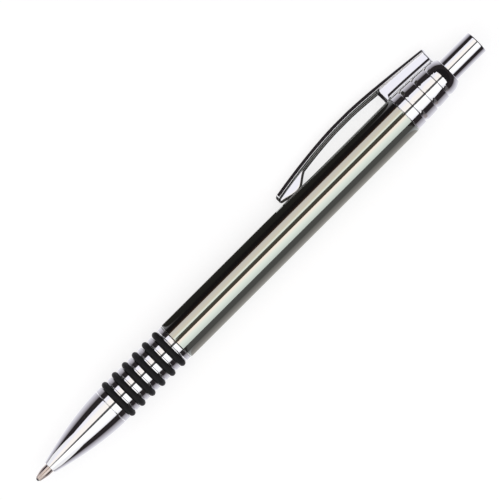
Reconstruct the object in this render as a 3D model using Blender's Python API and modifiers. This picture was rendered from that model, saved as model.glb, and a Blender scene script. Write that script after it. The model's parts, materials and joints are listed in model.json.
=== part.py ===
"""Click pen with an O-ring grip, a one-piece clip and a cam-and-rotor click mechanism.

Every piece is drawn on an upright pen: the writing tip at the origin, local +Z up the pen towards
the push button, and local +Y towards the clip. The empty "pen" then lays the whole pen on its side,
with +X towards the push button, resting on its grip rings and on the edge of its clip.
"""

import math

import bmesh
import bpy
from mathutils import Matrix, Vector

MM = 0.001

# Driving dimensions, in millimetres. Each is set by itself; what fits to it follows further down.
ROUND_STEPS = 24
SEAT_GAP = 0.15
SLIDE_GAP = 0.15
CLICK_TRAVEL = 5.0
OVERPRESS = 1.0

BALL_R = 0.5
POINT_R = 1.15
POINT_OUT = 4.15
POINT_SHOULDER_LENGTH = 1.3
POINT_STEM_LENGTH = 3.5
POINT_LIP_WALL = 0.08
POINT_SHOULDER_STEP = 0.05
POINT_SHOULDER_BEVEL = 0.2
POINT_CLEARANCE = 0.2
POINT_CONE_LENGTH = 2.6
SOCKET_GAP = 0.06
INK_CHANNEL_R = 0.3

REFILL_R = 1.5
REFILL_WALL = 0.25
REFILL_COLLAR_STEP = 0.6
REFILL_COLLAR_LENGTH = 0.8
REFILL_COLLAR_BEVEL = 0.3
SPRING_CLEARANCE = 0.17
SPRING_LENGTH = 10.5
SPRING_WIRE = 0.35
SPRING_TURNS = 9
SPRING_POINTS_PER_TURN = 10

NOSE_LENGTH = 19.35
NOSE_MOUTH_WALL = 0.25
NOSE_SHELF_DEPTH = 5.45
NOSE_FULLNESS = 1.7
NOSE_SOCKET_WALL = 0.87

RING_COUNT = 6
RING_PITCH = 3.18
RING_SECTION_R = 0.75
RING_PROUD = 0.38
RING_GROOVE_SIDE_GAP = 0.1
GRIP_HEAD = 2.5
GRIP_TAIL = 0.2
GRIP_STEP = 0.13
GRIP_SPIGOT_LENGTH = 5.5
LAND_STEP_LENGTH = 0.35
LAND_STEP_DEPTH = 0.12

TRIM_LENGTH = 1.15
TRIM_STEP = 0.07
SCREW_SPIGOT_LENGTH = 7.0

BARREL_R = 4.85
BARREL_WALL = 0.45
BARREL_LENGTH = 72.3
BUSH_WALL = 0.5
BUSH_LENGTH = 7.8
BUSH_INSET = 0.3

HOUSING_LENGTH = 13.85
HOUSING_STEP = 0.09
HOUSING_NARROWING = 0.64
HOUSING_TAPER_POWER = 1.45
HOUSING_EDGE_R = 0.8
HOUSING_SPIGOT_LENGTH = 6.5
HOUSING_SPIGOT_WALL = 0.55
HOUSING_LIP_LENGTH = 1.3
GROOVE_DEPTH = 0.35
GROOVE_LENGTH = 1.05
GROOVE_WALL = 0.1
GROOVE_HEAD = 2.3
GROOVE_PITCH = 3.82
GROOVE_COUNT = 3

SLEEVE_LENGTH = 16.5
SLEEVE_SEAT_DEPTH = 2.65
SLEEVE_WALL = 0.5
SLEEVE_LAND = 0.6
SLEEVE_SLOT_WIDTH = 1.3
CAM_COUNT = 4
ROTOR_INSET = 3.95
ROTOR_LENGTH = 5.8
ROTOR_RIB_STEP = 0.45
ROTOR_RIB_WIDTH = 0.9
ROTOR_SEAT_WIDTH = 0.55
ROTOR_CUP_DEPTH = 1.2
PLUNGER_STANDOFF = 0.55
PLUNGER_LENGTH = 13.7
PLUNGER_WALL = 0.95
PLUNGER_LUG_LENGTH = 3.6
TOOTH_HEIGHT = 0.9
TOOTH_CLEAR = 0.3
NOTCH_SHARE = 0.8

BUTTON_R = 2.92
BUTTON_OUT = 9.3
BUTTON_STOP_SPARE = 2.2
BUTTON_WALL = 0.5
BUTTON_CROWN = 1.3
BUTTON_EDGE_R = 0.45
BUTTON_FLANGE_STEP = 0.3
BUTTON_FLANGE_LENGTH = 1.2

CLIP_WIDTH = 3.2
CLIP_THICKNESS = 0.95
CLIP_ARM_LENGTH = 32.9
CLIP_OVERHANG = 1.1
CLIP_RISE = 4.99
CLIP_CREST_LENGTH = 4.0
CLIP_CREST_TO_ROOT = 7.6
CLIP_FRONT_DROP = 0.0197
CLIP_FRONT_POWER = 1.586
CLIP_REAR_DROP = 0.0359
CLIP_REAR_POWER = 1.3
CLIP_EDGE_R = 0.3
CLIP_OUTLINE_STEPS = 20
WEB_WIDTH = 1.8
WEB_EDGE_R = 0.2
FOOT_INSET = 5.2
FOOT_FRONT_SPREAD = 4.1
FOOT_REAR_SPREAD = 2.9
FOOT_LENGTH = 11.5
WEB_BITE = 0.3
BLOCK_HEEL_DROP = 1.5
BLOCK_INSET = 0.4
TONGUE_WIDTH = 1.2
TONGUE_LENGTH = 6.6
TONGUE_INSET = 2.7

# Stations that follow, as heights above the writing tip.
NOSE_FROM = POINT_OUT
NOSE_SHELF_AT = NOSE_FROM + NOSE_SHELF_DEPTH
GRIP_FROM = NOSE_FROM + NOSE_LENGTH
RING_FIRST_AT = GRIP_FROM + GRIP_HEAD
RING_GROOVE_HALF = RING_SECTION_R + RING_GROOVE_SIDE_GAP
GRIP_TO = RING_FIRST_AT + RING_PITCH * (RING_COUNT - 1) + RING_GROOVE_HALF + GRIP_TAIL
TRIM_FROM = GRIP_TO + SEAT_GAP
TRIM_TO = TRIM_FROM + TRIM_LENGTH
BARREL_FROM = TRIM_TO + SEAT_GAP
BARREL_TO = BARREL_FROM + BARREL_LENGTH
BUSH_FROM = BARREL_FROM + BUSH_INSET
HOUSING_FROM = BARREL_TO + SEAT_GAP
HOUSING_TO = HOUSING_FROM + HOUSING_LENGTH
HOUSING_SPIGOT_FROM = HOUSING_FROM - HOUSING_SPIGOT_LENGTH
GROOVE_FIRST_AT = HOUSING_FROM + GROOVE_HEAD
SLEEVE_TO = HOUSING_FROM + SLEEVE_SEAT_DEPTH
SLEEVE_FROM = SLEEVE_TO - SLEEVE_LENGTH
ROTOR_FROM = SLEEVE_FROM + ROTOR_INSET
ROTOR_TO = ROTOR_FROM + ROTOR_LENGTH
PLUNGER_FROM = ROTOR_TO + PLUNGER_STANDOFF
PLUNGER_TO = PLUNGER_FROM + PLUNGER_LENGTH
POINT_LIP_AT = BALL_R - POINT_LIP_WALL
POINT_SHOULDER_AT = NOSE_SHELF_AT + OVERPRESS + 2.0 * SLIDE_GAP
REFILL_FROM = POINT_SHOULDER_AT + POINT_SHOULDER_LENGTH + SEAT_GAP
REFILL_TO = ROTOR_FROM - SLIDE_GAP
REFILL_COLLAR_AT = NOSE_SHELF_AT + SPRING_LENGTH + 2.0 * SEAT_GAP
POINT_STEM_TO = REFILL_FROM + POINT_STEM_LENGTH
BUTTON_FLANGE_TO = HOUSING_TO - HOUSING_LIP_LENGTH - CLICK_TRAVEL - BUTTON_STOP_SPARE
BUTTON_FROM = BUTTON_FLANGE_TO - BUTTON_FLANGE_LENGTH
BUTTON_TOP = HOUSING_TO + BUTTON_OUT
CLIP_ROOT_AT = HOUSING_FROM - CLIP_OVERHANG
CLIP_TIP_AT = CLIP_ROOT_AT - CLIP_ARM_LENGTH
CLIP_CREST_TO = CLIP_ROOT_AT - CLIP_CREST_TO_ROOT
CLIP_CREST_FROM = CLIP_CREST_TO - CLIP_CREST_LENGTH
FOOT_AT = CLIP_TIP_AT + FOOT_INSET
BLOCK_TO = HOUSING_TO - BLOCK_INSET
TONGUE_TO = BLOCK_TO - TONGUE_INSET
TONGUE_FROM = TONGUE_TO - TONGUE_LENGTH

# Radii that follow.
POINT_SHOULDER_R = REFILL_R - POINT_SHOULDER_STEP
REFILL_COLLAR_R = REFILL_R + REFILL_COLLAR_STEP
SPRING_MEAN_R = REFILL_R + SPRING_CLEARANCE + SPRING_WIRE * 0.5
GRIP_BORE_R = REFILL_COLLAR_R + 2.0 * SLIDE_GAP
NOSE_BORE_R = POINT_R + POINT_CLEARANCE
NOSE_MOUTH_R = NOSE_BORE_R + NOSE_MOUTH_WALL
GRIP_R = BARREL_R - GRIP_STEP
GRIP_SPIGOT_R = GRIP_R - NOSE_SOCKET_WALL - SEAT_GAP
RING_R = GRIP_R + RING_PROUD
RING_CENTRE_R = RING_R - RING_SECTION_R
RING_GROOVE_FLOOR_R = RING_CENTRE_R - RING_SECTION_R - SEAT_GAP
TRIM_R = BARREL_R - TRIM_STEP
BARREL_BORE_R = BARREL_R - BARREL_WALL
BUSH_R = BARREL_BORE_R - SEAT_GAP
BUSH_BORE_R = BUSH_R - BUSH_WALL
SCREW_SPIGOT_R = BUSH_BORE_R - SLIDE_GAP
HOUSING_FOOT_R = BARREL_R - HOUSING_STEP
HOUSING_TOP_R = HOUSING_FOOT_R - HOUSING_NARROWING
HOUSING_SPIGOT_R = BARREL_BORE_R - SEAT_GAP
SLEEVE_SEAT_R = HOUSING_SPIGOT_R - HOUSING_SPIGOT_WALL
SLEEVE_SEAT_TO = SLEEVE_TO + SEAT_GAP
SLEEVE_R = SLEEVE_SEAT_R - SEAT_GAP
SLEEVE_SLOT_R = SLEEVE_R - SLEEVE_WALL
SLEEVE_BORE_R = SLEEVE_SLOT_R - SLEEVE_LAND
ROTOR_RIB_R = SLEEVE_BORE_R - SLIDE_GAP
ROTOR_CORE_R = ROTOR_RIB_R - ROTOR_RIB_STEP
ROTOR_BORE_R = REFILL_R - ROTOR_SEAT_WIDTH
BUTTON_BORE_R = BUTTON_R - BUTTON_WALL
BUTTON_FLANGE_R = BUTTON_R + BUTTON_FLANGE_STEP
PLUNGER_R = min(SLEEVE_BORE_R, BUTTON_BORE_R) - SLIDE_GAP
PLUNGER_BORE_R = PLUNGER_R - PLUNGER_WALL
LUG_R = SLEEVE_SLOT_R - SLIDE_GAP
LUG_WIDTH = SLEEVE_SLOT_WIDTH - 3.0 * SLIDE_GAP
HOUSING_LIP_R = BUTTON_R + SLIDE_GAP
HOUSING_CHAMBER_R = BUTTON_FLANGE_R + SLIDE_GAP
CLIP_CREST_R = BARREL_R + CLIP_RISE
CLIP_UNDERSIDE_R = BARREL_R + SEAT_GAP
SLOT_WIDTH = TONGUE_WIDTH + 2.0 * SEAT_GAP

COLOURS = {
    "chrome": ((0.86, 0.87, 0.88), 0.07, 1.0),
    "dark_chrome": ((0.36, 0.36, 0.37), 0.08, 1.0),
    "rubber": ((0.015, 0.015, 0.016), 0.55, 0.0),
    "brass": ((0.72, 0.53, 0.28), 0.25, 1.0),
    "nickel_silver": ((0.62, 0.50, 0.47), 0.25, 1.0),
    "carbide": ((0.30, 0.30, 0.32), 0.15, 1.0),
    "steel": ((0.55, 0.56, 0.58), 0.3, 1.0),
    "white_nylon": ((0.80, 0.80, 0.78), 0.5, 0.0),
    "dark_nylon": ((0.06, 0.06, 0.065), 0.45, 0.0),
}


def material(finish):
    """One Principled material for each finish, made the first time it is asked for."""
    found = bpy.data.materials.get(finish)
    if found:
        return found
    colour, roughness, metallic = COLOURS[finish]
    made = bpy.data.materials.new(finish)
    made.use_nodes = True
    shader = made.node_tree.nodes["Principled BSDF"]
    shader.inputs["Base Color"].default_value = (*colour, 1.0)
    shader.inputs["Roughness"].default_value = roughness
    shader.inputs["Metallic"].default_value = metallic
    return made


def add_object(name, data, finish, pen):
    """Put a mesh or curve in the pen's collection, with its own material, under the pen's empty."""
    piece = bpy.data.objects.new(name, data)
    own = material(finish).copy()
    own.name = f"{name}_{finish}"
    data.materials.append(own)
    bpy.data.collections["click_pen"].objects.link(piece)
    piece.parent = pen
    return piece


def add_cutter(name, data):
    """A shape that only cuts or joins another one, kept out of the pen's collection."""
    cutter = bpy.data.objects.new(name, data)
    bpy.data.collections["cutters"].objects.link(cutter)
    cutter.parent = bpy.data.objects["pen"]
    cutter.hide_render = True
    cutter.display_type = "WIRE"
    return cutter


def wire_profile(name, points, closed):
    """A mesh of edges through (radius, height) points in millimetres, in the XZ plane at +X."""
    mesh = bpy.data.meshes.new(name)
    places = [(radius * MM, 0.0, height * MM) for radius, height in points]
    edges = [(i, i + 1) for i in range(len(points) - 1)]
    if closed:
        edges.append((len(points) - 1, 0))
    mesh.from_pydata(places, edges, [])
    return mesh


def screw(piece, steps=ROUND_STEPS):
    """Turn a profile about the pen's axis, through a whole circle."""
    turn = piece.modifiers.new("turn", "SCREW")
    turn.axis = "Z"
    turn.angle = math.tau
    turn.steps = steps
    turn.render_steps = steps
    turn.screw_offset = 0.0
    turn.use_merge_vertices = True
    turn.merge_threshold = 0.000001
    turn.use_smooth_shade = False
    return turn


def turned(name, outside, inside, finish, pen, closed=True):
    """A turned piece. Both outlines are (radius, height) lists that climb from the lowest point."""
    profile = list(reversed(outside)) + inside
    piece = add_object(name, wire_profile(name, profile, closed), finish, pen)
    screw(piece)
    return piece


def turned_cutter(name, outside, inside):
    cutter = add_cutter(name, wire_profile(name, list(reversed(outside)) + inside, True))
    screw(cutter)
    return cutter


def box_mesh(name, low, high):
    """A box between two corners in millimetres, starting from a unit cube."""
    mesh = bpy.data.meshes.new(name)
    shape = bmesh.new()
    bmesh.ops.create_cube(shape, size=1.0)
    size = [(b - a) * MM for a, b in zip(low, high)]
    centre = [(a + b) * 0.5 * MM for a, b in zip(low, high)]
    bmesh.ops.scale(shape, vec=size, verts=shape.verts)
    bmesh.ops.translate(shape, vec=centre, verts=shape.verts)
    shape.to_mesh(mesh)
    shape.free()
    return mesh


def spokes_mesh(name, count, inner, outer, width, low, high, phase=0.0):
    """Flat blocks like spokes, evenly round the axis, from one radius to another."""
    mesh = bpy.data.meshes.new(name)
    shape = bmesh.new()
    size = ((outer - inner) * MM, width * MM, (high - low) * MM)
    centre = Vector(((outer + inner) * 0.5 * MM, 0.0, (high + low) * 0.5 * MM))
    for i in range(count):
        made = bmesh.ops.create_cube(shape, size=1.0)["verts"]
        bmesh.ops.scale(shape, vec=size, verts=made)
        bmesh.ops.translate(shape, vec=centre, verts=made)
        turn = Matrix.Rotation(phase + math.tau * i / count, 3, "Z")
        bmesh.ops.rotate(shape, cent=(0.0, 0.0, 0.0), matrix=turn, verts=made)
    shape.to_mesh(mesh)
    shape.free()
    return mesh


def notch_mesh(name, count, reach, height, rim, upwards):
    """Saw-tooth notches in a rim: three-sided wedges, wider outwards, that point up or down into it."""
    mesh = bpy.data.meshes.new(name)
    shape = bmesh.new()
    spread = math.tan(math.pi * NOTCH_SHARE / count)
    sign = 1.0 if upwards else -1.0
    section = [(-spread, -TOOTH_CLEAR), (spread, -TOOTH_CLEAR), (spread * 0.75, height)]
    for i in range(count):
        rows = []
        for along in (reach * 0.25, reach * 1.5):
            row = [(along * MM, along * side * MM, (rim + sign * depth) * MM) for side, depth in section]
            rows.append([shape.verts.new(place) for place in row])
        near, far = rows
        shape.faces.new(near)
        shape.faces.new(reversed(far))
        for k in range(3):
            m = (k + 1) % 3
            shape.faces.new((near[m], near[k], far[k], far[m]))
        turn = Matrix.Rotation(math.tau * i / count, 3, "Z")
        bmesh.ops.rotate(shape, cent=(0.0, 0.0, 0.0), matrix=turn, verts=near + far)
    bmesh.ops.recalc_face_normals(shape, faces=shape.faces)
    shape.to_mesh(mesh)
    shape.free()
    return mesh


def boolean(piece, cutter, operation):
    cut = piece.modifiers.new(cutter.name, "BOOLEAN")
    cut.operation = operation
    cut.object = cutter
    cut.solver = "EXACT"
    return cut


def flat_outline(name, outline, half_width):
    """A flat outline of (y, z) points in millimetres, made solid across X, as a mesh."""
    curve = bpy.data.curves.new(f"{name}_outline", "CURVE")
    curve.dimensions = "2D"
    curve.fill_mode = "BOTH"
    curve.extrude = half_width * MM
    spline = curve.splines.new("POLY")
    spline.points.add(len(outline) - 1)
    for point, (across, height) in zip(spline.points, outline):
        point.co = (across * MM, height * MM, 0.0, 1.0)
    spline.use_cyclic_u = True
    holder = bpy.data.objects.new(f"{name}_holder", curve)
    bpy.data.collections["cutters"].objects.link(holder)
    graph = bpy.context.evaluated_depsgraph_get()
    mesh = bpy.data.meshes.new_from_object(holder.evaluated_get(graph))
    mesh.name = name
    bpy.data.objects.remove(holder)
    shape = bmesh.new()
    shape.from_mesh(mesh)
    bmesh.ops.remove_doubles(shape, verts=shape.verts, dist=0.000001)
    # The curve's X is the pen's Y, its Y is the pen's Z, and its Z is the pen's X.
    to_pen = Matrix(((0, 0, 1, 0), (1, 0, 0, 0), (0, 1, 0, 0), (0, 0, 0, 1)))
    bmesh.ops.transform(shape, verts=shape.verts, matrix=to_pen)
    bmesh.ops.dissolve_limit(shape, angle_limit=0.001, verts=shape.verts, edges=shape.edges)
    bmesh.ops.recalc_face_normals(shape, faces=shape.faces)
    shape.to_mesh(mesh)
    shape.free()
    return mesh


def round_edges(piece, radius):
    """Round a flat piece's two outlines, leaving its gentle curves alone."""
    bevel = piece.modifiers.new("round edges", "BEVEL")
    bevel.width = radius * MM
    bevel.segments = 2
    bevel.limit_method = "ANGLE"
    bevel.angle_limit = math.radians(60.0)
    bevel.use_clamp_overlap = True
    return bevel


def nose_radius(height):
    """The nose swells from its mouth to the grip: the gap that is left closes as a power curve."""
    left = (GRIP_FROM - height) / (GRIP_FROM - NOSE_FROM)
    return GRIP_R - (GRIP_R - NOSE_MOUTH_R) * left**NOSE_FULLNESS


def housing_radius(height):
    """The top housing narrows slowly at first and faster towards the button."""
    share = (height - HOUSING_FROM) / (HOUSING_TO - HOUSING_EDGE_R - HOUSING_FROM)
    return HOUSING_FOOT_R - (HOUSING_FOOT_R - HOUSING_TOP_R) * max(share, 0.0) ** HOUSING_TAPER_POWER


def clip_top(height):
    """The clip's outer line: a flat crest that falls away as a power curve on both sides."""
    front = max(CLIP_CREST_FROM - height, 0.0)
    rear = max(height - CLIP_CREST_TO, 0.0)
    drop = CLIP_FRONT_DROP * front**CLIP_FRONT_POWER + CLIP_REAR_DROP * rear**CLIP_REAR_POWER
    return CLIP_CREST_R - drop


def foot_underside(height):
    """The web's inner line at the free end: a rounded foot on the barrel that dies out up the arm."""
    away = height - FOOT_AT
    spread = FOOT_REAR_SPREAD if away > 0.0 else FOOT_FRONT_SPREAD
    reach = clip_top(FOOT_AT) - CLIP_THICKNESS - CLIP_UNDERSIDE_R
    return clip_top(height) - CLIP_THICKNESS - reach * math.exp(-((away / spread) ** 2))


def make_refill(pen):
    seat_r = BALL_R + SOCKET_GAP
    outside = [(seat_r + POINT_LIP_WALL, POINT_LIP_AT)]
    swell = POINT_R - seat_r - POINT_LIP_WALL
    for share in (0.25, 0.6, 1.0):
        radius = POINT_R - swell * (1.0 - share) ** NOSE_FULLNESS
        outside.append((radius, POINT_LIP_AT + POINT_CONE_LENGTH * share))
    outside += [
        (POINT_R, POINT_SHOULDER_AT),
        (POINT_SHOULDER_R, POINT_SHOULDER_AT + POINT_SHOULDER_BEVEL),
        (POINT_SHOULDER_R, REFILL_FROM - SEAT_GAP),
        (REFILL_R - REFILL_WALL - SEAT_GAP, REFILL_FROM - SEAT_GAP),
        (REFILL_R - REFILL_WALL - SEAT_GAP, POINT_STEM_TO),
    ]
    seat_floor = 2.0 * (BALL_R + SOCKET_GAP)
    inside = [
        (seat_r, POINT_LIP_AT),
        (seat_r, seat_floor - SOCKET_GAP),
        (INK_CHANNEL_R, seat_floor),
        (INK_CHANNEL_R, POINT_STEM_TO),
    ]
    turned("refill_point", outside, inside, "nickel_silver", pen)

    ball = bpy.data.meshes.new("refill_ball")
    shape = bmesh.new()
    bmesh.ops.create_uvsphere(shape, u_segments=12, v_segments=8, radius=BALL_R * MM)
    shape.to_mesh(ball)
    shape.free()
    rolling = add_object("refill_ball", ball, "carbide", pen)
    rolling.location = (0.0, 0.0, BALL_R * MM)

    collar_to = REFILL_COLLAR_AT + REFILL_COLLAR_LENGTH
    outside = [
        (REFILL_R, REFILL_FROM),
        (REFILL_R, REFILL_COLLAR_AT),
        (REFILL_COLLAR_R, REFILL_COLLAR_AT),
        (REFILL_COLLAR_R, collar_to - REFILL_COLLAR_BEVEL),
        (REFILL_R, collar_to),
        (REFILL_R, REFILL_TO),
    ]
    bore = REFILL_R - REFILL_WALL
    turned("refill_tube", outside, [(bore, REFILL_FROM), (bore, REFILL_TO)], "steel", pen)


def make_spring(pen):
    """A helix between the nose's shelf and the refill's collar, as a round wire."""
    low = NOSE_SHELF_AT + SEAT_GAP + SPRING_WIRE * 0.5
    high = REFILL_COLLAR_AT - SEAT_GAP - SPRING_WIRE * 0.5
    curve = bpy.data.curves.new("return_spring", "CURVE")
    curve.dimensions = "3D"
    curve.bevel_depth = SPRING_WIRE * 0.5 * MM
    curve.bevel_resolution = 2
    curve.use_fill_caps = True
    count = SPRING_TURNS * SPRING_POINTS_PER_TURN
    spline = curve.splines.new("POLY")
    spline.points.add(count)
    for i, point in enumerate(spline.points):
        share = i / count
        angle = math.tau * SPRING_TURNS * share
        height = low + (high - low) * share
        across = (SPRING_MEAN_R * math.cos(angle) * MM, SPRING_MEAN_R * math.sin(angle) * MM)
        point.co = (*across, height * MM, 1.0)
    add_object("return_spring", curve, "steel", pen)


def make_nose(pen):
    steps = 12
    climb = (GRIP_FROM - NOSE_FROM) / steps
    outside = [(nose_radius(NOSE_FROM + climb * i), NOSE_FROM + climb * i) for i in range(steps + 1)]
    socket_r = GRIP_SPIGOT_R + SEAT_GAP
    socket_from = GRIP_FROM - GRIP_SPIGOT_LENGTH - SEAT_GAP
    inside = [
        (NOSE_BORE_R, NOSE_FROM),
        (NOSE_BORE_R, NOSE_SHELF_AT),
        (GRIP_BORE_R, NOSE_SHELF_AT),
        (GRIP_BORE_R, socket_from),
        (socket_r, socket_from),
        (socket_r, GRIP_FROM),
    ]
    turned("nose_cone", outside, inside, "chrome", pen)


def make_grip(pen):
    """The grooved sleeve: a groove for each ring, and a small step where each land meets a ring."""
    start = GRIP_FROM + SEAT_GAP
    outside = [
        (GRIP_SPIGOT_R, GRIP_FROM - GRIP_SPIGOT_LENGTH),
        (GRIP_SPIGOT_R, start),
        (GRIP_R, start),
    ]
    for i in range(RING_COUNT):
        centre = RING_FIRST_AT + RING_PITCH * i
        low = centre - RING_GROOVE_HALF
        high = centre + RING_GROOVE_HALF
        outside += [(GRIP_R, low), (RING_GROOVE_FLOOR_R, low), (RING_GROOVE_FLOOR_R, high)]
        if i < RING_COUNT - 1:
            step_r = GRIP_R - LAND_STEP_DEPTH
            outside += [(step_r, high), (step_r, high + LAND_STEP_LENGTH), (GRIP_R, high + LAND_STEP_LENGTH)]
        else:
            outside.append((GRIP_R, high))
    outside += [
        (GRIP_R, GRIP_TO),
        (SCREW_SPIGOT_R, GRIP_TO),
        (SCREW_SPIGOT_R, TRIM_TO + SCREW_SPIGOT_LENGTH),
    ]
    inside = [
        (GRIP_BORE_R, GRIP_FROM - GRIP_SPIGOT_LENGTH),
        (GRIP_BORE_R, TRIM_TO + SCREW_SPIGOT_LENGTH),
    ]
    turned("grip_sleeve", outside, inside, "chrome", pen)

    for i in range(RING_COUNT):
        bpy.ops.mesh.primitive_torus_add(
            major_radius=RING_CENTRE_R * MM,
            minor_radius=RING_SECTION_R * MM,
            major_segments=ROUND_STEPS,
            minor_segments=8,
        )
        maker = bpy.context.object
        mesh = maker.data
        bpy.data.objects.remove(maker)
        ring = add_object(f"grip_ring_{i + 1}", mesh, "rubber", pen)
        ring.location = (0.0, 0.0, (RING_FIRST_AT + RING_PITCH * i) * MM)


def make_barrel(pen):
    turned(
        "trim_ring",
        [(TRIM_R, TRIM_FROM), (TRIM_R, TRIM_TO)],
        [(BUSH_BORE_R, TRIM_FROM), (BUSH_BORE_R, TRIM_TO)],
        "chrome",
        pen,
    )
    turned(
        "barrel_tube",
        [(BARREL_R, BARREL_FROM), (BARREL_R, BARREL_TO)],
        [(BARREL_BORE_R, BARREL_FROM), (BARREL_BORE_R, BARREL_TO)],
        "dark_chrome",
        pen,
    )
    turned(
        "barrel_bush",
        [(BUSH_R, BUSH_FROM), (BUSH_R, BUSH_FROM + BUSH_LENGTH)],
        [(BUSH_BORE_R, BUSH_FROM), (BUSH_BORE_R, BUSH_FROM + BUSH_LENGTH)],
        "brass",
        pen,
    )


def groove_depth(height):
    """A groove's wall drops at once, and its floor climbs evenly back to the surface."""
    within = (height - GROOVE_FIRST_AT) % GROOVE_PITCH
    if height < GROOVE_FIRST_AT or not GROOVE_WALL * 0.5 < within < GROOVE_LENGTH:
        return 0.0
    return GROOVE_DEPTH * (GROOVE_LENGTH - within) / (GROOVE_LENGTH - GROOVE_WALL)


def housing_outline(clearance):
    """The housing's outside above the barrel, with its shallow grooves and its rounded end."""
    heights = [HOUSING_FROM]
    for i in range(GROOVE_COUNT):
        low = GROOVE_FIRST_AT + GROOVE_PITCH * i
        high = low + GROOVE_LENGTH
        heights += [low, low + GROOVE_WALL, (low + high) * 0.5, high]
    outline = []
    for height in heights:
        depth = 0.0 if clearance else groove_depth(height)
        outline.append((housing_radius(height) + clearance - depth, height))
    edge_from = HOUSING_TO - HOUSING_EDGE_R
    for i in range(5):
        angle = math.radians(22.5 * i)
        radius = HOUSING_TOP_R - HOUSING_EDGE_R + HOUSING_EDGE_R * math.cos(angle)
        outline.append((radius + clearance, edge_from + HOUSING_EDGE_R * math.sin(angle)))
    return outline


def make_housing(pen):
    outside = [(HOUSING_SPIGOT_R, HOUSING_SPIGOT_FROM), (HOUSING_SPIGOT_R, HOUSING_FROM)]
    outside += housing_outline(0.0)
    lip_from = HOUSING_TO - HOUSING_LIP_LENGTH
    inside = [
        (SLEEVE_SEAT_R, HOUSING_SPIGOT_FROM),
        (SLEEVE_SEAT_R, SLEEVE_SEAT_TO),
        (HOUSING_CHAMBER_R, SLEEVE_SEAT_TO),
        (HOUSING_CHAMBER_R, lip_from),
        (HOUSING_LIP_R, lip_from),
        (HOUSING_LIP_R, HOUSING_TO),
    ]
    housing = turned("top_housing", outside, inside, "chrome", pen)
    half = SLOT_WIDTH * 0.5
    low = (-half, HOUSING_LIP_R * 0.5, TONGUE_FROM - SEAT_GAP)
    high = (half, HOUSING_FOOT_R + HOUSING_EDGE_R, TONGUE_TO + SEAT_GAP)
    boolean(housing, add_cutter("tongue_slot", box_mesh("tongue_slot", low, high)), "DIFFERENCE")


def make_click_parts(pen):
    """The fixed cam sleeve, the rotor that the refill pushes on, and the plunger inside the button."""
    sleeve = turned(
        "cam_sleeve",
        [(SLEEVE_R, SLEEVE_FROM), (SLEEVE_R, SLEEVE_TO)],
        [(SLEEVE_BORE_R, SLEEVE_FROM), (SLEEVE_BORE_R, SLEEVE_TO)],
        "white_nylon",
        pen,
    )
    latch_at = ROTOR_TO - TOOTH_HEIGHT
    past = SLEEVE_TO + SEAT_GAP
    root = SLEEVE_BORE_R * 0.5
    slots = spokes_mesh("sleeve_slots", CAM_COUNT, root, SLEEVE_SLOT_R, SLEEVE_SLOT_WIDTH, latch_at, past)
    boolean(sleeve, add_cutter("sleeve_slots", slots), "DIFFERENCE")

    rotor = turned(
        "cam_rotor",
        [(ROTOR_CORE_R, ROTOR_FROM), (ROTOR_CORE_R, ROTOR_TO)],
        [(ROTOR_BORE_R, ROTOR_FROM), (ROTOR_BORE_R, ROTOR_TO)],
        "dark_nylon",
        pen,
    )
    root = (ROTOR_CORE_R + ROTOR_BORE_R) * 0.5
    low = ROTOR_FROM + ROTOR_CUP_DEPTH
    half_step = math.pi / CAM_COUNT
    ribs = spokes_mesh("rotor_ribs", CAM_COUNT, root, ROTOR_RIB_R, ROTOR_RIB_WIDTH, low, ROTOR_TO, half_step)
    boolean(rotor, add_cutter("rotor_ribs", ribs), "UNION")
    notches = notch_mesh("rotor_notches", 2 * CAM_COUNT, ROTOR_RIB_R, TOOTH_HEIGHT, ROTOR_TO, False)
    boolean(rotor, add_cutter("rotor_notches", notches), "DIFFERENCE")

    plunger = turned(
        "cam_plunger",
        [(PLUNGER_R, PLUNGER_FROM), (PLUNGER_R, PLUNGER_TO)],
        [(PLUNGER_BORE_R, PLUNGER_FROM), (PLUNGER_BORE_R, PLUNGER_TO)],
        "dark_nylon",
        pen,
    )
    lugs_to = PLUNGER_FROM + PLUNGER_LUG_LENGTH
    root = PLUNGER_R - PLUNGER_WALL * 0.5
    low = PLUNGER_FROM + TOOTH_HEIGHT * 0.5
    lugs = spokes_mesh("plunger_lugs", CAM_COUNT, root, LUG_R, LUG_WIDTH, low, lugs_to)
    boolean(plunger, add_cutter("plunger_lugs", lugs), "UNION")
    notches = notch_mesh("plunger_notches", 2 * CAM_COUNT, PLUNGER_R, TOOTH_HEIGHT, PLUNGER_FROM, True)
    boolean(plunger, add_cutter("plunger_notches", notches), "DIFFERENCE")


def make_button(pen):
    outside = [
        (BUTTON_FLANGE_R, BUTTON_FROM),
        (BUTTON_FLANGE_R, BUTTON_FLANGE_TO),
        (BUTTON_R, BUTTON_FLANGE_TO),
    ]
    for i in range(4):
        angle = math.radians(30.0 * i)
        radius = BUTTON_R - BUTTON_EDGE_R + BUTTON_EDGE_R * math.cos(angle)
        outside.append((radius, BUTTON_TOP - BUTTON_EDGE_R + BUTTON_EDGE_R * math.sin(angle)))
    outside.append((0.0, BUTTON_TOP))
    ceiling = BUTTON_TOP - BUTTON_CROWN
    inside = [(BUTTON_BORE_R, BUTTON_FROM), (BUTTON_BORE_R, ceiling), (0.0, ceiling)]
    turned("push_button", outside, inside, "chrome", pen, closed=False)


def heights_between(low, high, steps):
    return [low + (high - low) * (i / steps) for i in range(steps + 1)]


def strip_outline(low, high, steps):
    """The clip's outer strip between two heights: its top line, then its underside."""
    heights = heights_between(low, high, steps)
    outline = [(clip_top(height), height) for height in reversed(heights)]
    return outline + [(clip_top(height) - CLIP_THICKNESS, height) for height in heights]


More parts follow.
